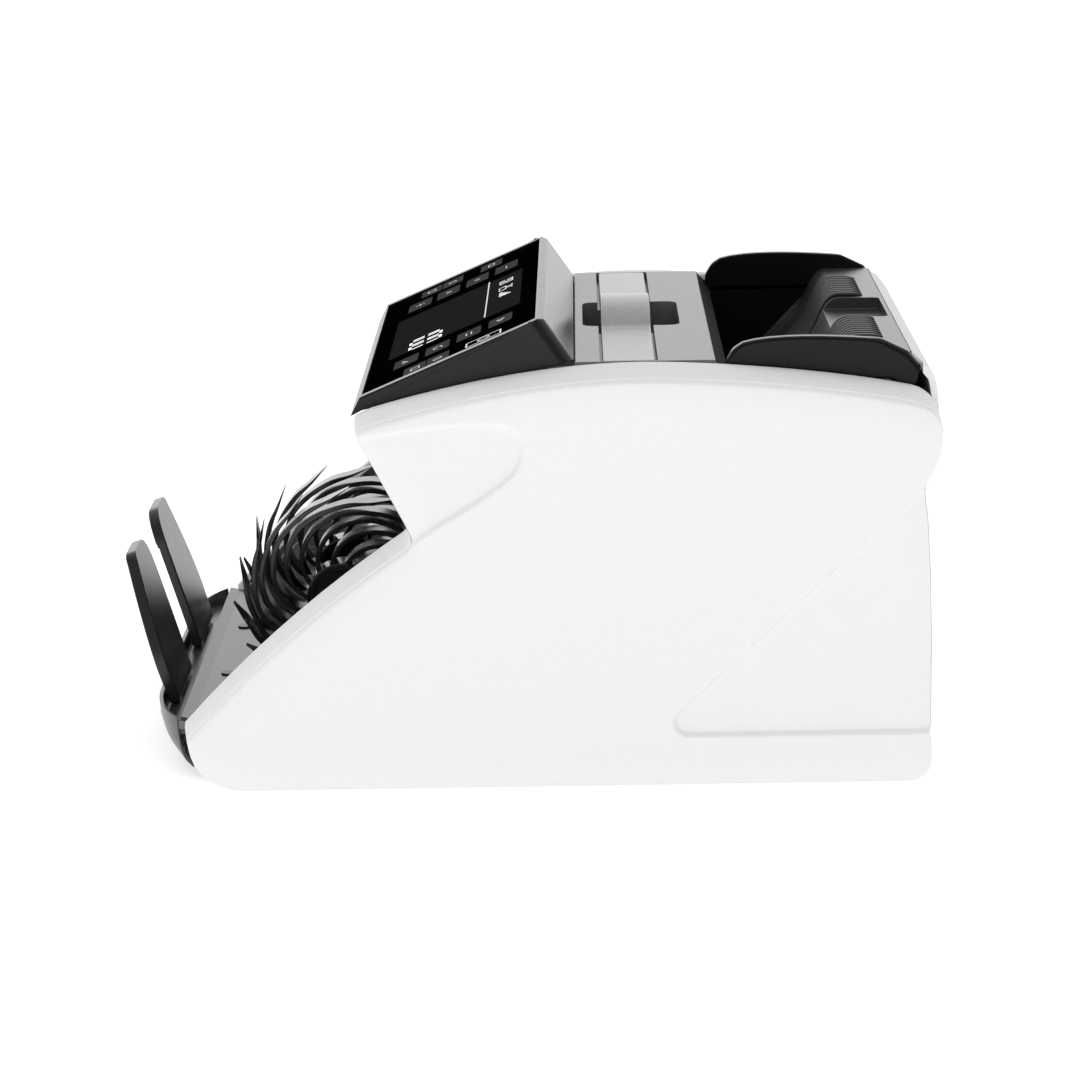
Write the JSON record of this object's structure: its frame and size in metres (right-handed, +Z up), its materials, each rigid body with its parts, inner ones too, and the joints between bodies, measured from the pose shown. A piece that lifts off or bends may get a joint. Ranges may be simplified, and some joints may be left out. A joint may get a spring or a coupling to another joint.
{
  "type": "banknote counting machine",
  "caption": "Desktop banknote counting machine with a rear hopper, friction feed, finned stacker wheels, front stop plates, sloped touch display and a lift-up grip.",
  "frame": {"origin": "on the table under the middle of the machine, at the underside of the rubber feet", "axes": "+X to the right seen from the front (the operator's right), +Y to the back, +Z up; the stacker and its stop plates face -Y"},
  "size_m": [0.24, 0.2991, 0.1686],
  "materials": {
    "white_plastic": "glossy moulded white",
    "black_plastic": "satin moulded black",
    "smoke_plastic": "glossy smoked",
    "fin_plastic": "glossy black",
    "touch_glass": "polished black",
    "grey_plastic": "satin grey",
    "handle_plastic": "satin dark grey",
    "sheet_steel": "zinc plated sheet",
    "bright_steel": "ground",
    "bearing_bronze": "sintered",
    "foot_rubber": "matt",
    "roller_rubber": "ground",
    "grip_rubber": "ground",
    "belt_rubber": "matt",
    "motor_steel": "satin",
    "circuit_board": "lacquered",
    "core_steel": "varnished",
    "switch_red": "glossy"
  },
  "bodies": {
    "chassis": {"base_plate": "sheet_steel", "rubber_feet": "foot_rubber", "base_screws": "bright_steel", "left_frame": "sheet_steel", "right_frame": "sheet_steel", "frame_tie_rods": "bright_steel", "shaft_bearings": "bearing_bronze", "left_side_cover": "white_plastic", "right_side_cover": "white_plastic", "cover_screws": "bright_steel", "display_housing": "black_plastic", "display_glass": "touch_glass", "display_board": "circuit_board", "top_cover": "black_plastic", "handle_guides": "black_plastic", "hopper_feed_plate": "black_plastic", "hopper_front_wall": "black_plastic", "left_hopper_cheek": "black_plastic", "right_hopper_cheek": "black_plastic", "rear_cover": "white_plastic", "rear_cover_screws": "bright_steel", "stack_tray": "black_plastic", "left_stop_plate": "smoke_plastic", "right_stop_plate": "smoke_plastic", "front_bumper": "black_plastic", "upper_note_guide": "grey_plastic", "lower_note_guide": "grey_plastic", "sensor_bar": "circuit_board", "hopper_sensor": "black_plastic", "stack_sensor": "black_plastic", "speed_sensor": "black_plastic", "retard_rollers": "roller_rubber", "main_motor": "motor_steel", "feed_motor": "motor_steel", "main_belt": "belt_rubber", "stacker_belt": "belt_rubber", "feed_belt": "belt_rubber", "pickup_belt": "belt_rubber", "main_board": "circuit_board", "power_board": "circuit_board", "transformer": "core_steel", "power_inlet": "black_plastic", "switch_body": "black_plastic", "fuse_holder": "black_plastic", "display_port": "sheet_steel"},
    "handle": {"carry_handle": "handle_plastic"},
    "stacker": {"stacker_shaft": "bright_steel", "left_stacker_wheel": "fin_plastic", "right_stacker_wheel": "fin_plastic"},
    "exit_drive": {"exit_rollers": "grip_rubber"},
    "exit_press": {"exit_idlers": "white_plastic"},
    "transport": {"transport_rollers": "grip_rubber", "encoder_disc": "black_plastic"},
    "transport_press": {"transport_idlers": "white_plastic"},
    "feeder": {"feed_rollers": "roller_rubber"},
    "pickup": {"pickup_rollers": "roller_rubber"},
    "main_motor_rotor": {"main_motor_pulley": "bright_steel"},
    "feed_motor_rotor": {"feed_motor_pulley": "bright_steel"},
    "rocker": {"power_switch": "switch_red"}
  },
  "joints": [
    {"name": "handle_lift", "type": "slide", "parent": "chassis", "child": "handle", "axis": [0, 0, 1], "range_m": [0, 0.022]},
    {"name": "stacker_spin", "type": "hinge", "parent": "chassis", "child": "stacker", "pos_m": [0, -0.0696, 0.049], "axis": [1, 0, 0], "continuous": true},
    {"name": "exit_spin", "type": "hinge", "parent": "chassis", "child": "exit_drive", "pos_m": [0, -0.024, 0.0766], "axis": [1, 0, 0], "continuous": true},
    {"name": "exit_press_spin", "type": "hinge", "parent": "chassis", "child": "exit_press", "pos_m": [0, -0.024, 0.0941], "axis": [1, 0, 0], "continuous": true},
    {"name": "transport_spin", "type": "hinge", "parent": "chassis", "child": "transport", "pos_m": [0, 0.0264, 0.082], "axis": [1, 0, 0], "continuous": true},
    {"name": "transport_press_spin", "type": "hinge", "parent": "chassis", "child": "transport_press", "pos_m": [0, 0.0264, 0.1044], "axis": [1, 0, 0], "continuous": true},
    {"name": "feed_spin", "type": "hinge", "parent": "chassis", "child": "feeder", "pos_m": [0, 0.0754, 0.088], "axis": [1, 0, 0], "continuous": true},
    {"name": "pickup_spin", "type": "hinge", "parent": "chassis", "child": "pickup", "pos_m": [0, 0.1045, 0.1149], "axis": [1, 0, 0], "continuous": true},
    {"name": "main_motor_spin", "type": "hinge", "parent": "chassis", "child": "main_motor_rotor", "pos_m": [0, 0.0414, 0.035], "axis": [1, 0, 0], "continuous": true},
    {"name": "feed_motor_spin", "type": "hinge", "parent": "chassis", "child": "feed_motor_rotor", "pos_m": [0, 0.0964, 0.045], "axis": [1, 0, 0], "continuous": true},
    {"name": "power_rocker", "type": "hinge", "parent": "chassis", "child": "rocker", "pos_m": [0.026, 0.143, 0.031], "axis": [1, 0, 0], "range_deg": [0, 16]}
  ],
  "couplings": [
    {"joint": "transport_spin", "follows": "stacker_spin", "ratio": 1.7143},
    {"joint": "exit_spin", "follows": "stacker_spin", "ratio": 2.4},
    {"joint": "exit_press_spin", "follows": "stacker_spin", "ratio": -3.4286},
    {"joint": "transport_press_spin", "follows": "stacker_spin", "ratio": -3},
    {"joint": "main_motor_spin", "follows": "stacker_spin", "ratio": 3.4286},
    {"joint": "pickup_spin", "follows": "feed_spin", "ratio": 1.25},
    {"joint": "feed_motor_spin", "follows": "feed_spin", "ratio": 2}
  ]
}
